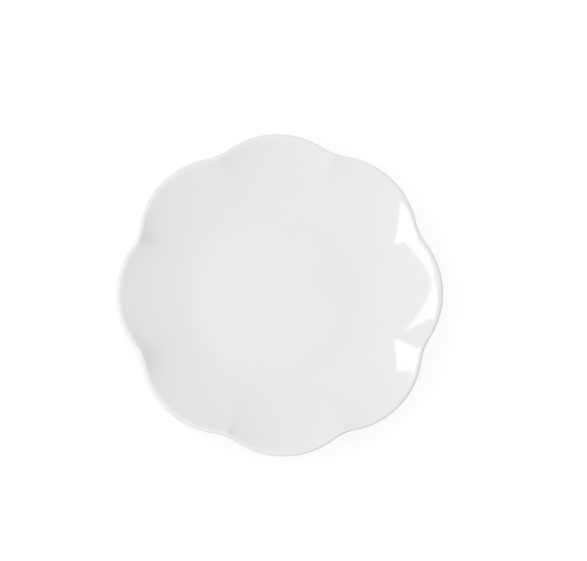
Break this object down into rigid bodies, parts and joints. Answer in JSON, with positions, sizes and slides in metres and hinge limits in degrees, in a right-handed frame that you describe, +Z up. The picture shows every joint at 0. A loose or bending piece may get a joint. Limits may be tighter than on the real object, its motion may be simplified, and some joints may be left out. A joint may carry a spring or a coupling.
{
  "type": "scalloped dessert plate",
  "caption": "White glazed porcelain coupe plate with a flat round well, a petalled wall, a scalloped rounded rim and a bare foot ring, for serving dessert or salad.",
  "frame": {"origin": "centre of the foot ring's standing face, on the table", "axes": "+Z up along the plate's axis; +X through the middle of one lobe"},
  "size_m": [0.205, 0.205, 0.0244],
  "materials": {
    "bare_porcelain": "unglazed, polished fine matt",
    "white_glaze": "clear gloss glaze over white porcelain"
  },
  "bodies": {
    "root": {"porcelain_body": "bare_porcelain", "glaze_coat": "white_glaze", "base_glaze": "white_glaze"}
  },
  "joints": []
}
